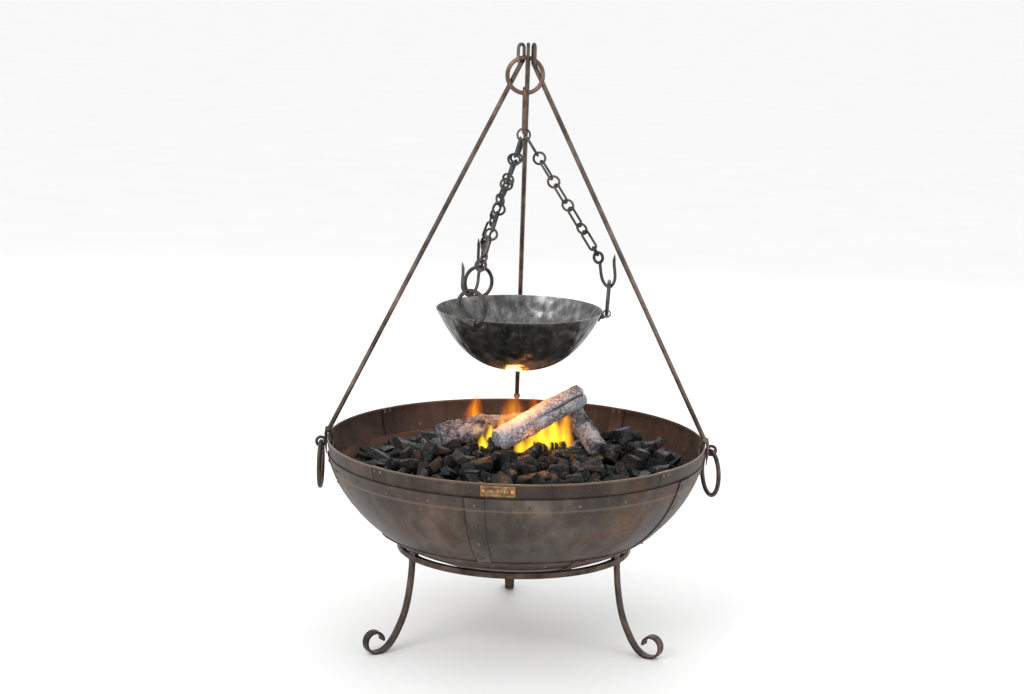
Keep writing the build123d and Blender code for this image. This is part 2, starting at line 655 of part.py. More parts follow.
def make_lug(name):
    """A curved plate on the bowl's wall with a standing web and an eye for the ring."""
    reach, height = LUG_EYE
    height -= LUG_HOLE - LUG_RING_WIRE - LUG_PLAY
    top = turn_at_height(COOK_BOWL, COOK_BOWL[1] - 3)
    bottom = turn_at_height(COOK_BOWL, COOK_BOWL[1] - 18)
    plate = sheet(COOK_BOWL, top, bottom, FREE_GAP, FREE_GAP + LUG_PLATE, -LUG_HALF_ANGLE, 2 * LUG_HALF_ANGLE)
    knuckle = rod((reach, -LUG_KNUCKLE / 2, height), (reach, LUG_KNUCKLE / 2, height), LUG_HOLE + LUG_WALL)
    web = Polyline(*[(out, 0, up) for out, up in LUG_WEB], close=True)
    body = knuckle + extrude(make_face(web), amount=LUG_KNUCKLE / 2, both=True)
    hole = rod((reach, -LUG_KNUCKLE, height), (reach, LUG_KNUCKLE, height), LUG_HOLE)
    save(f"lug_{name}", Rot(0, 0, CHAIN_AZIMUTHS[name]) * (plate + (body - hole)))


def make_cooking_bowl():
    save("cooking_bowl", sheet(COOK_BOWL, 0.0, 1.0, -SHEET, 0))
    rivet = rivet_shape(LUG_PLATE + SHEET + FREE_GAP)
    row = turn_at_height(COOK_BOWL, COOK_BOWL[1] - 10.5)
    rivets = []
    for name, azimuth in CHAIN_AZIMUTHS.items():
        make_lug(name)
        make_lug_ring(name)
        for side in (-4.6, 4.6):
            rivets.append(rivet_at(COOK_BOWL, rivet, row, azimuth + side, LUG_PLATE + FREE_GAP))
    save("lug_rivets", *rivets)


# ---- Charcoal grate and fuel ----
def grate_height():
    """Middle of the grate's bars: where the grate's ring meets the inside of the bowl."""
    inside = -BAND - 1.0
    turn = turn_at_radius(FIRE_BOWL, GRATE_RADIUS)
    r, z = outline_point(FIRE_BOWL, turn, inside)
    return z + GRATE_LIFT


def make_grate():
    middle = grate_height()
    half = GRATE_BAR / 2
    ring_middle = GRATE_RADIUS - half
    ring = revolve(Pos(ring_middle, 0, middle) * (Plane.XZ * Circle(half)), axis=Axis.Z)
    save("grate_ring", ring)
    bars = []
    for count in range(-GRATE_SIDE_BARS, GRATE_SIDE_BARS + 1):
        y = GRATE_PITCH * count
        reach = math.sqrt((ring_middle - half - 0.4) ** 2 - (abs(y) + half) ** 2)
        bars.append(rod((-reach, y, middle), (reach, y, middle), half))
    save("grate_bars", *bars)
    runners = []
    wide, tall = RUNNER_SIZE
    for x in (-RUNNER_X, RUNNER_X):
        reach = math.sqrt((ring_middle - 2 * half) ** 2 - (RUNNER_X + wide) ** 2)
        place = Pos(x, 0, middle - half - SKIN_GAP)
        runners.append(place * Box(wide, 2 * reach, tall, align=DOWNWARDS))
    save("grate_runners", *runners)


def make_fuel():
    logs = []
    for start, end, radius in LOGS:
        log = rod(start, end, radius)
        for other in logs:
            log = log - other
        logs.append(log)
    save("logs", *logs)
    floor = grate_height() + GRATE_BAR / 2 + 0.5
    wall = -BAND - 5.0
    top = turn_at_height(FIRE_BOWL, COAL_EDGE)
    side = outline_run(FIRE_BOWL, top, turn_at_height(FIRE_BOWL, floor), wall)
    edge = side @ 0
    foot = side @ 1
    crown = Spline((0, 0, COAL_CROWN), *[(edge.X * share, 0, z) for share, z in COAL_SLOPE], edge)
    close = Polyline(foot, (0, 0, foot.Z), (0, 0, COAL_CROWN))
    bed = revolve(make_face([crown, side, close]), axis=Axis.Z)
    for log in logs:
        bed = bed - log
    save("charcoal_bed", bed)


make_stand()
make_fire_bowl()
make_handles()
make_tripod()
make_s_hook()
for chain in CHAIN_AZIMUTHS:
    make_chain(chain)
    make_chain_hook(chain)
make_cooking_bowl()
make_grate()
make_fuel()
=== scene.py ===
import math
import random

import bmesh
import bpy
from mathutils import Euler, Matrix, Vector, noise


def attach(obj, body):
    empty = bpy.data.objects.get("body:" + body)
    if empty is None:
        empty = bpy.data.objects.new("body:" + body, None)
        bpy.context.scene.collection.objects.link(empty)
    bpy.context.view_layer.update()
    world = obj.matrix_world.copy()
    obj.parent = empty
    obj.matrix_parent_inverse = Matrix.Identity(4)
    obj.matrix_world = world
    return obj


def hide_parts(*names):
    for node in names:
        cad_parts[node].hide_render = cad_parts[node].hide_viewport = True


# Looks for the fire pit: rusted riveted steel, forged iron, charcoal, burning logs and low flames.
# Metres, +Z up, -Y the front, the same frame as the CAD part.

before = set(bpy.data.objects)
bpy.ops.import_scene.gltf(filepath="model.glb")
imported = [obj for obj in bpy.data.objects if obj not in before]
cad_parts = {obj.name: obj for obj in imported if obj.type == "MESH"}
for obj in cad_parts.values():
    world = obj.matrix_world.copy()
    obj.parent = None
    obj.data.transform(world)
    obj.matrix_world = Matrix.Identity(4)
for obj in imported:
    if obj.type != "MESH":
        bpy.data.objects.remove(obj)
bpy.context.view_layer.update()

# Vector noise is seeded from the clock unless told otherwise: a fixed seed gives one result each run.
NOISE_SEED = 1
noise.seed_set(NOISE_SEED)

# ---- Camera ----
CAMERA_PLACE = (-0.013738, -4.8734, 1.56025)
CAMERA_PITCH = 0.19
CAMERA_ROLL = 0.024
CAMERA_LENS = 82.99

# ---- The fire bowl's outline (rim radius, rim height, depth, powers), as in the CAD part ----
BOWL = (0.3995, 0.4265, 0.2515, 1.63, 2.96)
PLATE_AZIMUTH = -95.0
PLATE_HEIGHT = 0.411
PLATE_HALF = (0.033, 0.0095)
# Colour for dark rust and painted shade in the lines where plates meet and overlap.
SEAM_SHADE_TONE = (0.008, 0.006, 0.005)

# ---- Fire ----
FIRE_CENTRE = Vector((0.035, -0.015, 0.432))
COAL_EDGE = 0.352         # furthest that a lump's middle lies from the bowl's axis
# Each log: its two ends, its radius, its seed, how deep its long split is and how much ash covers it.
LOGS = [
    ((-0.040, -0.066, 0.435), (0.135, 0.0486, 0.5131), 0.0255, 3, 0.010, 0.95),
    ((-0.166, 0.004, 0.428), (-0.070, 0.034, 0.438), 0.0285, 7, 0.0, 0.55),
    ((0.126, 0.066, 0.466), (0.172, -0.022, 0.412), 0.0215, 11, 0.0, 0.55),
    ((-0.084, 0.098, 0.428), (0.030, 0.110, 0.434), 0.0235, 17, 0.003, 0.7),
]
# Each flame: where it stands, its height, its width, its seed, and how yellow and thick it is (0 to 1).
FLAMES = [
    ((-0.089, 0.064, 0.425), 0.098, 0.060, 1, 0.42),
    ((-0.006, 0.078, 0.425), 0.100, 0.086, 2, 0.50),
    ((0.040, 0.100, 0.425), 0.090, 0.060, 3, 0.20),
    ((-0.070, -0.046, 0.412), 0.034, 0.036, 4, 1.0),
    ((-0.054, -0.022, 0.426), 0.036, 0.032, 5, 0.9),
    ((-0.030, 0.000, 0.440), 0.040, 0.036, 6, 0.6),
    ((0.010, -0.034, 0.404), 0.042, 0.044, 7, 0.8),
    ((0.032, -0.020, 0.404), 0.058, 0.054, 8, 0.9),
    ((0.054, -0.004, 0.404), 0.076, 0.060, 9, 1.0),
    ((0.078, 0.010, 0.404), 0.092, 0.064, 10, 1.0),
    ((0.102, 0.020, 0.404), 0.100, 0.056, 12, 0.7),
]


# ---- Materials ----
class Look:
    """A small builder for one node material."""

    def __init__(self, name):
        self.material = bpy.data.materials.new(name)
        self.material.use_nodes = True
        tree = self.material.node_tree
        self.nodes = tree.nodes
        self.links = tree.links
        self.nodes.clear()
        self.output = self.nodes.new("ShaderNodeOutputMaterial")
        self.shader = self.nodes.new("ShaderNodeBsdfPrincipled")
        self.links.new(self.shader.outputs[0], self.output.inputs[0])
        self.place = self.nodes.new("ShaderNodeTexCoord").outputs["Object"]

    def feed(self, socket, value):
        if isinstance(value, bpy.types.NodeSocket):
            self.links.new(value, socket)
        elif isinstance(value, (int, float)) and socket.type == "RGBA":
            socket.default_value = (value, value, value, 1)
        elif isinstance(value, (tuple, list)) and socket.type == "RGBA":
            socket.default_value = (*value, 1)
        else:
            socket.default_value = value

    def shift(self, move=(0, 0, 0), scale=(1, 1, 1)):
        node = self.nodes.new("ShaderNodeMapping")
        self.links.new(self.place, node.inputs[0])
        node.inputs["Location"].default_value = move
        node.inputs["Scale"].default_value = scale
        return node.outputs[0]

    def noise(self, scale, detail=5.0, rough=0.55, place=None, distortion=0.0):
        node = self.nodes.new("ShaderNodeTexNoise")
        self.links.new(place or self.place, node.inputs["Vector"])
        node.inputs["Scale"].default_value = scale
        node.inputs["Detail"].default_value = detail
        node.inputs["Roughness"].default_value = rough
        node.inputs["Distortion"].default_value = distortion
        return node.outputs[0]

    def cells(self, scale, feature):
        node = self.nodes.new("ShaderNodeTexVoronoi")
        node.feature = feature
        self.links.new(self.place, node.inputs["Vector"])
        node.inputs["Scale"].default_value = scale
        node.inputs["Randomness"].default_value = 1.0
        return node.outputs["Distance"]

    def attribute(self, name):
        node = self.nodes.new("ShaderNodeAttribute")
        node.attribute_name = name
        return node.outputs["Fac"]

    def ramp(self, value, *stops):
        """Stops are (position, grey or colour)."""
        node = self.nodes.new("ShaderNodeValToRGB")
        self.feed(node.inputs[0], value)
        elements = node.color_ramp.elements
        while len(elements) < len(stops):
            elements.new(0.5)
        for element, (spot, tone) in zip(elements, stops):
            element.position = spot
            element.color = (*tone, 1) if isinstance(tone, tuple) else (tone, tone, tone, 1)
        return node.outputs[0]

    def mix(self, share, first, second, kind="MIX"):
        node = self.nodes.new("ShaderNodeMix")
        node.data_type = "RGBA"
        node.blend_type = kind
        self.feed(node.inputs[0], share)
        self.feed(node.inputs[6], first)
        self.feed(node.inputs[7], second)
        return node.outputs[2]

    def maths(self, kind, first, second=0.0):
        node = self.nodes.new("ShaderNodeMath")
        node.operation = kind
        self.feed(node.inputs[0], first)
        self.feed(node.inputs[1], second)
        return node.outputs[0]

    def height(self):
        """The object's own Z, in metres."""
        node = self.nodes.new("ShaderNodeSeparateXYZ")
        self.links.new(self.place, node.inputs[0])
        return node.outputs[2]

    def along(self, direction):
        """How far the point lies in a direction from the bowl's axis, in metres."""
        node = self.nodes.new("ShaderNodeVectorMath")
        node.operation = "DOT_PRODUCT"
        self.links.new(self.place, node.inputs[0])
        node.inputs[1].default_value = direction
        return node.outputs["Value"]

    def faces_axis(self):
        """1 where the surface faces the upright axis, as on a bowl's inner wall."""
        normal = self.nodes.new("ShaderNodeNewGeometry").outputs["Normal"]
        level = self.nodes.new("ShaderNodeVectorMath")
        level.operation = "MULTIPLY"
        self.links.new(self.place, level.inputs[0])
        level.inputs[1].default_value = (1, 1, 0)
        toward = self.nodes.new("ShaderNodeVectorMath")
        toward.operation = "DOT_PRODUCT"
        self.links.new(level.outputs[0], toward.inputs[0])
        self.links.new(normal, toward.inputs[1])
        return self.maths("LESS_THAN", toward.outputs["Value"], 0.0)

    def seams(self, azimuths, wide):
        """1 in a narrow upright line at each azimuth."""
        total = 0.0
        for azimuth in azimuths:
            angle = math.radians(azimuth)
            ahead = self.along((math.cos(angle), math.sin(angle), 0))
            aside = self.along((-math.sin(angle), math.cos(angle), 0))
            near = self.ramp(self.maths("ADD", self.maths("MULTIPLY", aside, 1 / wide), 0.5),
                             (0.0, 0.0), (0.35, 1.0), (0.65, 1.0), (1.0, 0.0))
            line = self.maths("MULTIPLY", near, self.maths("GREATER_THAN", ahead, 0.05))
            total = self.maths("MAXIMUM", line, total)
        return total

    def bump(self, value, distance, below=None):
        node = self.nodes.new("ShaderNodeBump")
        node.inputs["Distance"].default_value = distance
        self.feed(node.inputs["Height"], value)
        if below is not None:
            self.links.new(below, node.inputs["Normal"])
        self.links.new(node.outputs[0], self.shader.inputs["Normal"])
        return node.outputs[0]

    def set(self, **values):
        names = {"color": "Base Color", "metal": "Metallic", "rough": "Roughness",
                 "glow": "Emission Color", "glow_strength": "Emission Strength",
                 "spec": "Specular IOR Level"}
        for key, value in values.items():
            self.feed(self.shader.inputs[names[key]], value)


def rusty_steel(name, tint, move, top=None, seams=(), ridge_highlight=False, rim=False):
    """Sheet with a brown-grey patina, rust blooms, runs and scratches; dark rust and painted shade where
    plates meet, and a painted highlight along the embossed ridge.
    """
    look = Look(name)
    place = look.shift(move)
    streaks = look.shift(move, (1, 1, 0.22))
    dark = tuple(0.038 * share for share in tint)
    mid = tuple(0.078 * share for share in tint)
    pale = tuple(0.135 * share for share in tint)
    broad = look.noise(7.0, 6, 0.6, place, 0.4)
    base = look.ramp(broad, (0.34, dark), (0.52, mid), (0.70, pale))
    runs = look.ramp(look.noise(26.0, 5, 0.62, streaks), (0.42, 0.62), (0.62, 1.25))
    base = look.mix(0.75, base, runs, "MULTIPLY")
    bloom = look.maths("MULTIPLY", look.noise(10.0, 8, 0.68, place, 0.8), look.noise(3.2, 3, 0.5, place))
    bloom = look.ramp(bloom, (0.285, 0.0), (0.40, 1.0))
    rust = look.ramp(look.noise(120.0, 4, 0.7, place),
                     (0.35, (0.10, 0.036, 0.014)), (0.65, (0.25, 0.095, 0.034)))
    base = look.mix(look.maths("MULTIPLY", bloom, 0.42), base, rust)
    specks = look.ramp(look.noise(210.0, 3, 0.6, place), (0.66, 0.0), (0.74, 1.0))
    base = look.mix(look.maths("MULTIPLY", specks, 0.5), base, (0.30, 0.24, 0.19))
    if seams:
        # Dark rust and painted shade in a narrow upright line at each seam.
        joint_shade = look.seams(seams, 0.0042)
        base = look.mix(look.maths("MULTIPLY", joint_shade, 0.82), base, SEAM_SHADE_TONE)
    if top:
        # Dark rust and painted shade along the lap at the plate's top edge.
        climb = look.maths("MULTIPLY", look.maths("SUBTRACT", look.height(), top - 0.010), 50.0)
        joint_shade = look.ramp(climb, (0.0, 0.0), (0.34, 0.0), (0.46, 1.0), (1.0, 1.0))
        base = look.mix(look.maths("MULTIPLY", joint_shade, 0.78), base, SEAM_SHADE_TONE)
    if ridge_highlight:
        # Painted highlight: a lighter band along the embossed ridge, standing in for the light the ridge
        # catches.
        ridge = look.ramp(look.height(), (0.3655, 0.0), (0.3672, 1.0), (0.3680, 1.0), (0.3700, 0.0))
        base = look.mix(look.maths("MULTIPLY", ridge, 0.35), base, (0.24, 0.17, 0.12))
    if rim:
        edge = look.ramp(look.height(), (0.4248, 0.0), (0.4262, 1.0))
        base = look.mix(look.maths("MULTIPLY", edge, 0.55), base, (0.33, 0.22, 0.15))
    grain = look.noise(330.0, 5, 0.65, place)
    rough = look.ramp(look.mix(bloom, broad, 0.9), (0.30, 0.36), (0.75, 0.62))
    look.set(color=base, metal=0.55, rough=rough, spec=0.5)
    soft = look.bump(look.noise(14.0, 3, 0.5, place), 0.0016)
    look.bump(grain, 0.00035, soft)
    return look.material


def forged_iron(name, dark, pale, rough=(0.38, 0.62), metal=0.65, marks=0.0006, scale=1.0):
    """Round or flat bar with hammer marks, scale and worn high spots."""
    look = Look(name)
    tone = look.ramp(look.noise(34.0 * scale, 6, 0.62), (0.36, dark), (0.68, pale))
    scorch = look.ramp(look.noise(9.0 * scale, 4, 0.55), (0.38, 0.55), (0.60, 1.2))
    tone = look.mix(0.8, tone, scorch, "MULTIPLY")
    rust = look.ramp(look.noise(55.0 * scale, 6, 0.7), (0.60, 0.0), (0.70, 1.0))
    tone = look.mix(look.maths("MULTIPLY", rust, 0.4), tone, (0.19, 0.085, 0.040))
    roughness = look.ramp(look.noise(70.0 * scale, 4), (0.3, rough[0]), (0.7, rough[1]))
    look.set(color=tone, metal=metal, rough=roughness)
    blows = look.bump(look.cells(75.0 * scale, "SMOOTH_F1"), marks * 2)
    look.bump(look.noise(420.0, 4, 0.6), marks * 0.5, blows)
    return look.material


def hammered_steel(name):
    """The cooking bowl: dark grey sheet with round hammer blows, its inner wall brightened by a painted
    highlight.
    """
    look = Look(name)
    tone = look.ramp(look.noise(11.0, 6, 0.6),
                     (0.35, (0.040, 0.039, 0.038)), (0.68, (0.150, 0.148, 0.146)))
    runs = look.noise(60.0, 4, 0.6, look.shift((0, 0, 0), (1, 1, 0.12)))
    tone = look.mix(0.7, tone, look.ramp(runs, (0.40, 0.45), (0.64, 1.5)), "MULTIPLY")
    blotch = look.ramp(look.noise(42.0, 5, 0.65), (0.42, 0.6), (0.62, 1.25))
    tone = look.mix(0.7, tone, blotch, "MULTIPLY")
    # Painted highlight: the inner wall is made 2.3 times brighter, standing in for the reflections it
    # catches.
    inner_painted_highlight = look.mix(1.0, tone, (2.3, 2.3, 2.35), "MULTIPLY")
    tone = look.mix(look.faces_axis(), tone, inner_painted_highlight)
    edge = look.ramp(look.height(), (0.7030, 0.0), (0.7042, 1.0))
    tone = look.mix(look.maths("MULTIPLY", edge, 0.6), tone, (0.34, 0.33, 0.32))
    look.set(color=tone, metal=0.8, rough=look.ramp(look.noise(30.0, 5), (0.3, 0.22), (0.7, 0.40)))
    blows = look.bump(look.cells(46.0, "SMOOTH_F1"), 0.0034)
    look.bump(look.noise(260.0, 4, 0.6), 0.0002, blows)
    return look.material


def old_brass(name, pale, dark):
    look = Look(name)
    tone = look.ramp(look.noise(90.0, 6, 0.65), (0.36, dark), (0.62, pale))
    look.set(color=tone, metal=0.9, rough=look.ramp(look.noise(150.0, 4), (0.3, 0.28), (0.7, 0.5)))
    look.bump(look.noise(300.0, 4, 0.6), 0.0002)
    return look.material


def charcoal(name, ash, glow):
    """Broken charcoal: near black with a bluish sheen, some of it powdered with ash or glowing."""
    look = Look(name)
    grain_place = look.shift((0, 0, 0), (1, 1, 5))
    tone = look.ramp(look.noise(60.0, 6, 0.65),
                     (0.35, (0.0028, 0.0029, 0.0032)), (0.75, (0.014, 0.0145, 0.016)))
    dust = look.ramp(look.noise(95.0, 7, 0.72), (0.60 - 0.22 * ash, 0.0), (0.74 - 0.16 * ash, 1.0))
    pale = look.ramp(look.noise(300.0, 3), (0.35, (0.16, 0.16, 0.17)), (0.65, (0.52, 0.51, 0.52)))
    tone = look.mix(look.maths("MULTIPLY", dust, 0.25 + 0.65 * ash), tone, pale)
    look.set(color=tone, rough=look.ramp(look.noise(40.0, 4), (0.3, 0.30), (0.7, 0.75)), spec=0.35)
    if glow:
        hot = look.ramp(look.noise(46.0, 5, 0.6), (0.50, 0.0), (0.62, 1.0))
        near = look.attribute("heat")
        look.set(glow=look.ramp(hot, (0.1, (1.0, 0.05, 0.01)), (0.9, (1.0, 0.30, 0.04))),
                 glow_strength=look.maths("MULTIPLY", look.maths("MULTIPLY", hot, near), glow))
    cracks = look.bump(look.ramp(look.cells(85.0, "DISTANCE_TO_EDGE"), (0.0, 0.0), (0.07, 1.0)), 0.0012)
    look.bump(look.noise(120.0, 6, 0.7, grain_place), 0.0012, cracks)
    return look.material


def burnt_wood(name):
    """Ash over char in fine cross ridges: the cracks are dark, and glow red where the log is hot."""
    look = Look(name)
    crack = look.attribute("crack")
    heat = look.attribute("heat")
    ash = look.attribute("ash")
    fine = look.noise(170.0, 7, 0.72)
    broad = look.noise(30.0, 5, 0.6)
    powder = look.maths("ADD", look.maths("MULTIPLY", fine, 0.60), look.maths("MULTIPLY", broad, 0.75))
    cover = look.maths("ADD", powder, look.maths("MULTIPLY", look.maths("SUBTRACT", ash, 0.62), 0.42))
    tone = look.ramp(cover, (0.50, (0.014, 0.014, 0.018)), (0.60, (0.11, 0.11, 0.135)),
                     (0.70, (0.30, 0.30, 0.33)), (0.86, (0.58, 0.57, 0.60)))
    wave = look.maths("ADD", look.maths("MULTIPLY", look.attribute("along"), 2100.0),
                      look.maths("MULTIPLY", fine, 9.0))
    ridges = look.ramp(look.maths("MULTIPLY", look.maths("ADD", look.maths("SINE", wave), 1.0), 0.5),
                       (0.15, 0.55), (0.6, 1.1))
    tone = look.mix(0.75, tone, ridges, "MULTIPLY")
    tone = look.mix(look.maths("MULTIPLY", crack, 0.85), tone, (0.010, 0.009, 0.010))
    patch = look.ramp(look.noise(38.0, 5, 0.62, look.shift((0.3, 0.1, 0.7))), (0.47, 0.0), (0.54, 1.0))
    open_heat = look.maths("MULTIPLY", look.maths("MULTIPLY", look.attribute("under"), patch), 0.75)
    hottest = look.maths("MAXIMUM", look.maths("MULTIPLY", crack, patch), open_heat)
    glow = look.maths("MULTIPLY", hottest, heat)
    char = look.maths("MINIMUM", look.maths("MULTIPLY", glow, 2.2), 0.9)
    tone = look.mix(char, tone, (0.045, 0.008, 0.010))
    look.set(color=tone, rough=0.92, spec=0.2)
    look.set(glow=look.ramp(glow, (0.0, (0.8, 0.012, 0.02)), (0.9, (1.0, 0.10, 0.03))),
             glow_strength=look.maths("MULTIPLY", glow, 3.6))
    look.bump(look.maths("ADD", fine, look.maths("MULTIPLY", ridges, 0.35)), 0.0016)
    return look.material


def flame_look():
    """See-through glow, thick and yellow low down, thin and orange towards the tip and the sides."""
    look = Look("flame")
    look.nodes.remove(look.shader)
    glow = look.nodes.new("ShaderNodeEmission")
    clear = look.nodes.new("ShaderNodeBsdfTransparent")
    blend = look.nodes.new("ShaderNodeMixShader")
    rise = look.attribute("rise")
    side = look.attribute("side")
    yellow = look.attribute("yellow")
    wisps = look.noise(30.0, 3, 0.6, look.shift((0, 0, 0), (1, 1, 0.3)))
    heart = look.maths("SUBTRACT", look.maths("ADD", yellow, look.maths("MULTIPLY", wisps, 0.5)),
                       look.maths("MULTIPLY", look.maths("ADD", rise, side), 0.45))
    look.feed(glow.inputs[0], look.ramp(heart, (0.0, (1.0, 0.12, 0.01)), (0.4, (1.0, 0.30, 0.02)),
                                        (1.0, (1.0, 0.62, 0.035))))
    look.feed(glow.inputs[1], look.maths("ADD", look.maths("MULTIPLY", heart, 1.5), 0.7))
    fade = look.ramp(rise, (0.0, 0.4), (0.10, 1.0), (0.45, 0.85), (1.0, 0.0))
    edge = look.ramp(side, (0.0, 1.0), (0.45, 0.75), (1.0, 0.0))
    thin = look.ramp(wisps, (0.35, 0.35), (0.6, 1.0))
    share = look.maths("MULTIPLY", look.maths("MULTIPLY", fade, edge), thin)
    cover = look.maths("ADD", look.maths("MULTIPLY", yellow, 0.45), 0.30)
    look.feed(blend.inputs[0], look.maths("MULTIPLY", share, cover))
    look.links.new(clear.outputs[0], blend.inputs[1])
    look.links.new(glow.outputs[0], blend.inputs[2])
    look.links.new(blend.outputs[0], look.output.inputs[0])
    return look.material


# ---- Mesh helpers ----
def new_object(name, mesh_data, materials, smooth=True):
    piece = bpy.data.objects.new(name, mesh_data)
    bpy.context.scene.collection.objects.link(piece)
    for material in materials:
        mesh_data.materials.append(material)
    for face in mesh_data.polygons:
        face.use_smooth = smooth
    return piece


def bowl_radius(height):
    """Radius of the fire bowl's outline at a height."""
    radius, top, depth, down, out = BOWL
    drop = (max(0.0, top - height) / depth) ** (down / 2)
    return radius * math.cos(math.asin(drop)) ** (2 / out)


def heat_at(spot):
    """1 in the heart of the fire, 0 well away from it."""
    away = Vector(spot) - FIRE_CENTRE
    away.z *= 1.6
    return max(0.0, min(1.0, 1.35 - away.length / 0.115))


# ---- Charcoal ----
def coal_height(x, y):
    """Height of the charcoal's surface: a low mound, a heap at the right, and ash before the left log."""
    height = 0.412 - 0.074 * (math.hypot(x, y) / 0.373) ** 1.6
    height += 0.046 * math.exp(-((x - 0.256) ** 2 + (y - 0.05) ** 2) / (2 * 0.06 ** 2))
    height += 0.016 * math.exp(-((x + 0.145) ** 2 + (y + 0.06) ** 2) / (2 * 0.045 ** 2))
    height -= 0.010 * math.exp(-((x - 0.06) ** 2 + (y + 0.03) ** 2) / (2 * 0.04 ** 2))
    return height


def lump(mesh, heat, draw, centre, size, material_index):
    """One broken piece of charcoal: the hull of jittered points on a squashed prism."""
    turn = Euler((draw.uniform(0, 6.3), draw.gauss(0, 0.35), draw.uniform(0, 6.3))).to_matrix()
    sides = draw.randint(4, 7)
    piece = bmesh.new()
    for end in (-1, 1):
        lean = draw.uniform(-0.25, 0.25)
        for count in range(sides):
            angle = 2 * math.pi * (count + draw.uniform(-0.3, 0.3)) / sides
            reach = draw.uniform(0.72, 1.0)
            along = end * draw.uniform(0.82, 1.0) + lean * math.cos(angle)
            piece.verts.new((along * size[0] / 2, reach * math.cos(angle) * size[1] / 2,
                             reach * math.sin(angle) * size[2] / 2))
    hull = bmesh.ops.convex_hull(piece, input=piece.verts)
    spare = [item for item in hull["geom_interior"] if isinstance(item, bmesh.types.BMVert)]
    bmesh.ops.delete(piece, geom=spare, context="VERTS")
    bmesh.ops.dissolve_limit(piece, angle_limit=0.16, verts=piece.verts, edges=piece.edges)
    bmesh.ops.bevel(piece, geom=list(piece.edges), offset=size[2] * 0.02, segments=1, affect="EDGES")
    made = {}
    warm = heat_at(centre)
    for vertex in piece.verts:
        copy = mesh.verts.new(turn @ vertex.co + Vector(centre))
        copy[heat] = warm
        made[vertex] = copy
    for face in piece.faces:
        new = mesh.faces.new([made[vertex] for vertex in face.verts])
        new.material_index = material_index
    piece.free()


def make_charcoal():
    draw = random.Random(41)
    mesh = bmesh.new()
    heat = mesh.verts.layers.float.new("heat")
    placed = []

    def scatter(count, spacing, low, high, sink):
        for _ in range(count):
            reach = COAL_EDGE * math.sqrt(draw.random())
            azimuth = draw.uniform(0, 2 * math.pi)
            x = reach * math.cos(azimuth)
            y = reach * math.sin(azimuth)
            if any((x - a) ** 2 + (y - b) ** 2 < spacing ** 2 for a, b in placed):
                continue
            placed.append((x, y))
            long = draw.uniform(low, high)
            size = (long, long * draw.uniform(0.55, 0.85), long * draw.uniform(0.45, 0.75))
            z = coal_height(x, y) + draw.uniform(-0.005, 0.006) - sink
            room = bowl_radius(z) - 0.008 - long * 0.52
            if reach > room:
                x *= room / reach
                y *= room / reach
            away = (Vector((x, y, z)) - FIRE_CENTRE).length
            kind = 0
            if away < 0.100 or (away < 0.17 and draw.random() < 0.40):
                kind = 2
            elif draw.random() < 0.16:
                kind = 1
            lump(mesh, heat, draw, (x, y, z), size, kind)

    scatter(1500, 0.037, 0.046, 0.076, 0.006)
    placed.clear()
    scatter(2200, 0.027, 0.026, 0.042, 0.010)
    placed.clear()
    scatter(1400, 0.040, 0.030, 0.050, -0.008)
    rings = 14
    sides = 64
    last = None
    for ring in range(rings + 1):
        reach = 0.355 * ring / rings
        row = []
        for side in range(sides):
            angle = 2 * math.pi * side / sides
            x = reach * math.cos(angle)
            y = reach * math.sin(angle)
            vertex = mesh.verts.new((x, y, coal_height(x, y) - 0.016))
            vertex[heat] = 0.0
            row.append(vertex)
        if last:
            for side in range(sides):
                after = (side + 1) % sides
                mesh.faces.new((last[side], row[side], row[after], last[after]))
        last = row
    bmesh.ops.remove_doubles(mesh, verts=mesh.verts, dist=1e-6)
    data = bpy.data.meshes.new("charcoal_lumps")
    mesh.to_mesh(data)
    mesh.free()
    looks = [charcoal("charcoal_black", 0.0, 0), charcoal("charcoal_dusty", 0.25, 0),
             charcoal("charcoal_embers", 0.35, 8.0)]
    piece = new_object("charcoal_lumps", data, looks, smooth=False)
    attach(piece, "grate")
    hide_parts("charcoal_bed")


# ---- Logs ----
def log_point(along, angle, radius, length, seed, split, lumpy):
    """Distance from the log's axis and how deep in a crack the point is."""
    spot = Vector((along + seed, radius * math.cos(angle), radius * math.sin(angle)))
    bulge = 1 + lumpy * (noise.noise(spot * 26) + 0.45 * noise.noise(spot * 75))
    cell = Vector((spot.x * 92, spot.y * 118, spot.z * 118)) + noise.noise_vector(spot * 70) * 0.6
    near = noise.voronoi(cell)[0]
    here = max(0.0, min(1.0, 0.5 + 1.6 * noise.noise(spot * 21)))
    crack = max(0.0, 1 - (near[1] - near[0]) / 0.17) * here
    ridge = 0.0008 * math.sin(spot.x * 1450 + 5 * noise.noise(spot * 60))
    reach = radius * bulge - crack * 0.0030 + ridge
    groove = math.exp(-(((angle - 2.75 + 0.25 * noise.noise(spot * 12)) / 0.11) ** 2))
    groove *= max(0.0, min(1.0, 3 * along / length - 1))
    reach -= split * groove
    ends = min(along, length - along) / 0.010
    if ends < 1:
        reach *= 0.90 + 0.10 * max(ends, 0.0)
    return reach, max(crack, groove if split else 0.0)


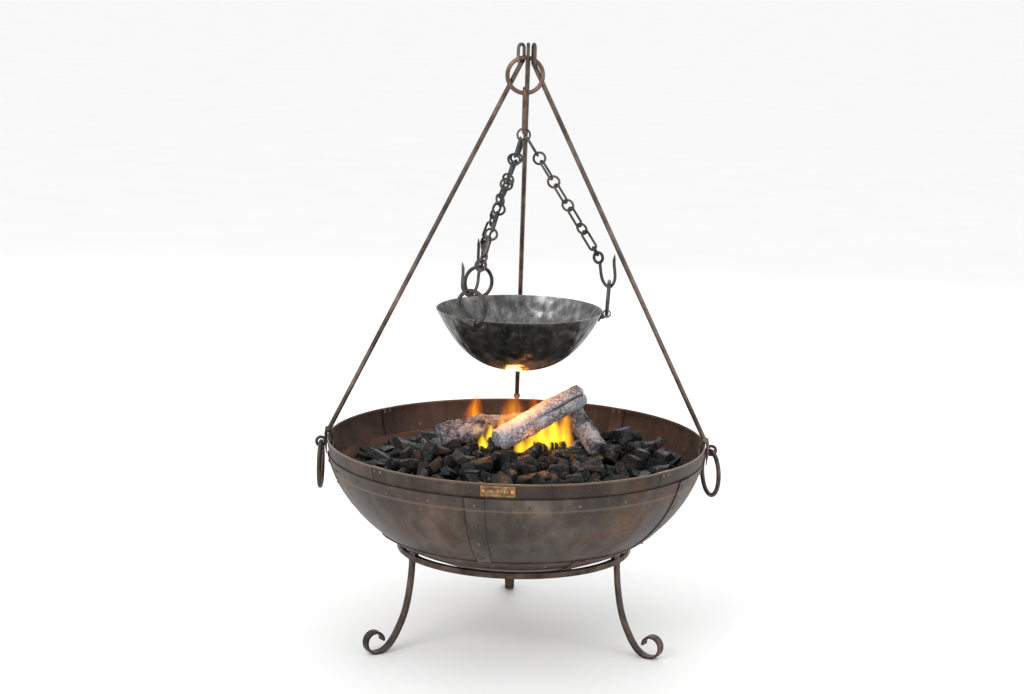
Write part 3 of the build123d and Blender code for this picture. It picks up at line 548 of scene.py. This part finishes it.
def make_logs():
    mesh = bmesh.new()
    names = ("crack", "heat", "ash", "along", "under")
    layers = {name: mesh.verts.layers.float.new(name) for name in names}
    for start, end, radius, seed, split, ash in LOGS:
        start = Vector(start)
        axis = Vector(end) - start
        length = axis.length
        turn = axis.to_track_quat("X", "Z").to_matrix()
        lumpy = 0.11 + 0.25 * (1 - ash)
        rings = int(length / 0.0021)
        sides = 84
        rows = []

        def vertex_at(along, across, angle, crack):
            local = Vector((along, across * math.cos(angle), across * math.sin(angle)))
            vertex = mesh.verts.new(start + turn @ local)
            vertex[layers["crack"]] = crack
            vertex[layers["heat"]] = heat_at(vertex.co)
            vertex[layers["ash"]] = ash
            vertex[layers["along"]] = along
            outward = turn @ Vector((0, math.cos(angle), math.sin(angle)))
            vertex[layers["under"]] = max(0.0, 0.5 - outward.z)
            return vertex

        for shrink in (0.0, 0.3, 0.6, 0.85):
            rows.append((0.0, shrink))
        rows += [(length * ring / rings, 1.0) for ring in range(rings + 1)]
        for shrink in (0.85, 0.6, 0.3, 0.0):
            rows.append((length, shrink))
        last = None
        for along, share in rows:
            row = []
            for side in range(sides):
                angle = 2 * math.pi * side / sides
                reach, crack = log_point(along, angle, radius, length, seed, split, lumpy)
                if share < 1:
                    spoke = noise.noise(Vector((math.cos(angle) * 2.4, math.sin(angle) * 2.4, seed)))
                    crack = max(0.0, 1 - abs(spoke) / 0.10)
                    dent = 0.002 * noise.noise(Vector((share * 6, angle * 2, seed))) - 0.002 * crack
                    spot = along + (dent if along > 0 else -dent)
                else:
                    spot = along
                row.append(vertex_at(spot, reach * share, angle, crack))
            if last:
                for side in range(sides):
                    after = (side + 1) % sides
                    mesh.faces.new((last[side], last[after], row[after], row[side]))
            last = row
    bmesh.ops.remove_doubles(mesh, verts=mesh.verts, dist=1e-6)
    bmesh.ops.recalc_face_normals(mesh, faces=mesh.faces)
    data = bpy.data.meshes.new("burnt_logs")
    mesh.to_mesh(data)
    mesh.free()
    piece = new_object("burnt_logs", data, [burnt_wood("ash_and_char")])
    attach(piece, "grate")
    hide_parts("logs")


# ---- Flames ----
def make_flames():
    """Each flame is a few upright sheets that cross in its middle and fade out at their edges."""
    mesh = bmesh.new()
    layers = {name: mesh.verts.layers.float.new(name) for name in ("rise", "side", "yellow")}
    sheets = 4
    rings = 20
    columns = 10
    for (x, y, z), tall, wide, seed, yellow in FLAMES:
        for sheet in range(sheets):
            turn = math.pi * sheet / sheets + 0.2
            last = None
            for ring in range(rings + 1):
                rise = ring / rings
                swell = 0.78 + 0.45 * rise - 0.95 * rise * rise
                sway = noise.noise_vector(Vector((seed * 3.1, 0, rise * 2.2))) * 0.14 * tall * rise
                row = []
                for column in range(columns + 1):
                    side = 2 * column / columns - 1
                    ripple = 1 + 0.25 * noise.noise(Vector((side * 1.3, sheet * 2.0, rise * 3 + seed)))
                    across = side * wide / 2 * swell * ripple
                    vertex = mesh.verts.new((x + sway.x + across * math.cos(turn),
                                             y + sway.y + across * math.sin(turn),
                                             z + tall * rise * (1 - 0.22 * side * side)))
                    vertex[layers["rise"]] = rise
                    vertex[layers["side"]] = abs(side)
                    vertex[layers["yellow"]] = yellow
                    row.append(vertex)
                if last:
                    for column in range(columns):
                        mesh.faces.new((last[column], last[column + 1], row[column + 1], row[column]))
                last = row
    data = bpy.data.meshes.new("flame_tongues")
    mesh.to_mesh(data)
    mesh.free()
    piece = new_object("flame_tongues", data, [flame_look()])
    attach(piece, "grate")


# ---- Ornament on the brass plate ----
def plate_point(across, up, proud):
    """A point on the plate's curved face: across and up from its middle, in metres."""
    height = PLATE_HEIGHT + up
    radius = bowl_radius(height) + 0.0012 + proud
    angle = math.radians(PLATE_AZIMUTH) + across / BOWL[0]
    return (radius * math.cos(angle), radius * math.sin(angle), height)


def make_plate_ornament(material):
    """A plain raised border and a row of lozenges."""
    mesh = bmesh.new()
    rise = 0.0005

    def raised(corners):
        """A low block on the plate over a ring of corners."""
        under = [mesh.verts.new(plate_point(a, b, -0.0002)) for a, b in corners]
        over = [mesh.verts.new(plate_point(a * 0.985, b * 0.985, rise)) for a, b in corners]
        mesh.faces.new(over)
        mesh.faces.new(list(reversed(under)))
        count = len(corners)
        for index in range(count):
            after = (index + 1) % count
            mesh.faces.new((under[index], under[after], over[after], over[index]))

    half_w, half_h = PLATE_HALF
    bar = 0.0009
    steps = 12
    for side in (-1, 1):
        for step in range(steps):
            left = -half_w + 2 * half_w * step / steps
            right = left + 2 * half_w / steps
            low, high = sorted((side * half_h, side * (half_h - bar)))
            raised([(left, low), (right, low), (right, high), (left, high)])
        low, high = sorted((side * half_w, side * (half_w - bar)))
        raised([(low, -half_h), (high, -half_h), (high, half_h), (low, half_h)])
    for count in range(-3, 4):
        middle = count * 0.0066
        tall = 0.0042 if count % 2 == 0 else 0.0026
        raised([(middle - 0.0024, 0), (middle, -tall), (middle + 0.0024, 0), (middle, tall)])
    bmesh.ops.recalc_face_normals(mesh, faces=mesh.faces)
    data = bpy.data.meshes.new("plate_ornament")
    mesh.to_mesh(data)
    mesh.free()
    piece = new_object("plate_ornament", data, [material], smooth=False)
    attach(piece, "fire_bowl")


# ---- Looks on the CAD nodes ----
def dress(material, *starts):
    for name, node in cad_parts.items():
        if name.startswith(starts):
            node.data.materials.clear()
            node.data.materials.append(material)


def round_edges(width, *starts):
    for name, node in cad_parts.items():
        if name.startswith(starts):
            weld = node.modifiers.new("weld", "WELD")
            weld.merge_threshold = 0.00002
            bevel = node.modifiers.new("round", "BEVEL")
            bevel.width = width
            bevel.segments = 2
            bevel.limit_method = "ANGLE"
            bevel.angle_limit = math.radians(40)


BROWN = (1.0, 0.70, 0.54)
GREY_BROWN = (1.0, 0.78, 0.64)
RED_BROWN = (1.05, 0.64, 0.47)
BAND_BROWN = (0.62, 0.43, 0.33)
SIDE_TOP = 0.3955
LOWER_TOP = 0.236
SIDE_SEAMS = (-105.0, -33.0, 39.0, 111.0, 183.0)
LOWER_SEAMS = (-165.5, -65.5, 24.5, 114.5)
BAND_SEAMS = (-136.4, -43.4, 52.6, 134.6)
dress(rusty_steel("band_steel", BAND_BROWN, (0.3, 0.1, 0.2), seams=BAND_SEAMS, rim=True),
      "rim_band_front", "rim_band_rear")
dress(rusty_steel("band_steel_2", BAND_BROWN, (1.3, 0.7, 0.4), seams=BAND_SEAMS, rim=True),
      "rim_band_right", "rim_band_left")
dress(rusty_steel("side_steel_3", RED_BROWN, (3.1, 1.2, 1.4), SIDE_TOP, SIDE_SEAMS, True),
      "side_plate_rear")
dress(rusty_steel("side_steel_1", GREY_BROWN, (2.3, 0.2, 0.9), SIDE_TOP, SIDE_SEAMS, True),
      "side_plate_front", "side_plate_rear_right")
dress(rusty_steel("side_steel_2", BROWN, (0.8, 1.9, 0.1), SIDE_TOP, SIDE_SEAMS, True),
      "side_plate_left", "side_plate_right")
dress(rusty_steel("lower_steel_1", RED_BROWN, (4.2, 0.6, 0.3), LOWER_TOP, LOWER_SEAMS),
      "lower_plate_left", "lower_plate_right")
dress(rusty_steel("lower_steel_2", BROWN, (5.5, 2.1, 0.8), LOWER_TOP, LOWER_SEAMS),
      "lower_plate_front", "lower_plate_rear", "base_dish")
dress(forged_iron("rivet_steel_look", (0.050, 0.038, 0.032), (0.23, 0.185, 0.155),
                  (0.30, 0.5), 0.7, 0.0002, 3.0),
      "rim_row_rivets", "lower_row_rivets", "dish_rivets", "seam_rivets", "rim_band_rivets",
      "handle_roves", "lug_rivets")
dress(forged_iron("stand_iron_look", (0.032, 0.022, 0.017), (0.110, 0.074, 0.056), (0.42, 0.66)),
      "stand_", "bowl_rests")
dress(forged_iron("handle_iron_look", (0.035, 0.027, 0.023), (0.125, 0.092, 0.074)),
      "handle_eye", "handle_ring")
dress(forged_iron("tripod_iron_look", (0.070, 0.052, 0.043), (0.205, 0.158, 0.132), (0.36, 0.58)),
      "tripod_leg")
dress(forged_iron("ring_iron_look", (0.080, 0.045, 0.032), (0.230, 0.130, 0.092), (0.36, 0.56)),
      "tripod_ring", "s_hook")
dress(forged_iron("chain_iron_look", (0.030, 0.027, 0.025), (0.125, 0.116, 0.108), (0.32, 0.52), 0.75),
      "master_ring", "chain_", "lug_ring", "lug_front", "lug_rear", "lug_right")
dress(forged_iron("grate_iron_look", (0.015, 0.014, 0.013), (0.06, 0.05, 0.045), (0.55, 0.8), 0.4),
      "grate_")
dress(hammered_steel("cook_steel_look"), "cooking_bowl")
dress(old_brass("plate_brass_look", (0.30, 0.185, 0.085), (0.085, 0.050, 0.026)), "name_plate")
dress(old_brass("pin_copper_look", (0.72, 0.30, 0.15), (0.30, 0.11, 0.06)), "name_plate_pins")
round_edges(0.0009, "stand_hoop", "stand_leg", "bowl_rests")
round_edges(0.0005, "name_plate")

make_charcoal()
make_logs()
make_flames()
make_plate_ornament(old_brass("ornament_brass", (0.50, 0.32, 0.15), (0.22, 0.13, 0.06)))


# ---- Floor, light and camera ----
def make_floor():
    mesh = bmesh.new()
    bmesh.ops.create_circle(mesh, cap_ends=True, segments=96, radius=40)
    data = bpy.data.meshes.new("floor")
    mesh.to_mesh(data)
    mesh.free()
    look = Look("floor_look")
    look.set(color=look.ramp(look.noise(3.0, 2), (0.3, 0.93), (0.7, 0.95)), rough=0.85, spec=0.2)
    piece = new_object("floor", data, [look.material])


def area_light(name, place, target, size, power, tone=(1, 1, 1)):
    data = bpy.data.lights.new(name, "AREA")
    data.size = size
    data.energy = power
    data.color = tone
    lamp = bpy.data.objects.new(name, data)
    bpy.context.scene.collection.objects.link(lamp)
    lamp.location = place
    lamp.rotation_euler = (Vector(target) - Vector(place)).to_track_quat("-Z", "Y").to_euler()


def point_light(name, place, power, tone, radius=0.03):
    data = bpy.data.lights.new(name, "POINT")
    data.energy = power
    data.color = tone
    data.shadow_soft_size = radius
    lamp = bpy.data.objects.new(name, data)
    bpy.context.scene.collection.objects.link(lamp)
    lamp.location = place


make_floor()
world = bpy.data.worlds.new("studio")
bpy.context.scene.world = world
world.use_nodes = True
backdrop = world.node_tree.nodes["Background"]
backdrop.inputs[0].default_value = (1.0, 1.0, 1.0, 1)
backdrop.inputs[1].default_value = 1.0
area_light("key", (-2.2, -3.4, 3.0), (0, 0, 0.5), 2.4, 75)
area_light("fill", (3.2, -2.4, 1.8), (0, 0, 0.5), 2.2, 26)
area_light("back", (0.4, 3.4, 2.8), (0, 0, 0.5), 2.4, 40)
point_light("fire_up", (-0.010, -0.030, 0.553), 1.1, (1.0, 0.36, 0.06), 0.02)
point_light("fire_low", (0.03, -0.05, 0.450), 0.12, (1.0, 0.30, 0.06), 0.03)
point_light("fire_back", (0.0, 0.12, 0.485), 0.45, (1.0, 0.36, 0.07), 0.03)

lens = bpy.data.cameras.new("camera")
lens.sensor_width = 36
lens.lens = CAMERA_LENS
camera = bpy.data.objects.new("camera", lens)
bpy.context.scene.collection.objects.link(camera)
tilt = Euler((math.pi / 2 - CAMERA_PITCH, 0, 0)).to_matrix() @ Matrix.Rotation(CAMERA_ROLL, 3, "Z")
camera.matrix_world = Matrix.Translation(CAMERA_PLACE) @ tilt.to_4x4()
bpy.context.scene.camera = camera
bpy.context.scene.view_settings.view_transform = "Standard"
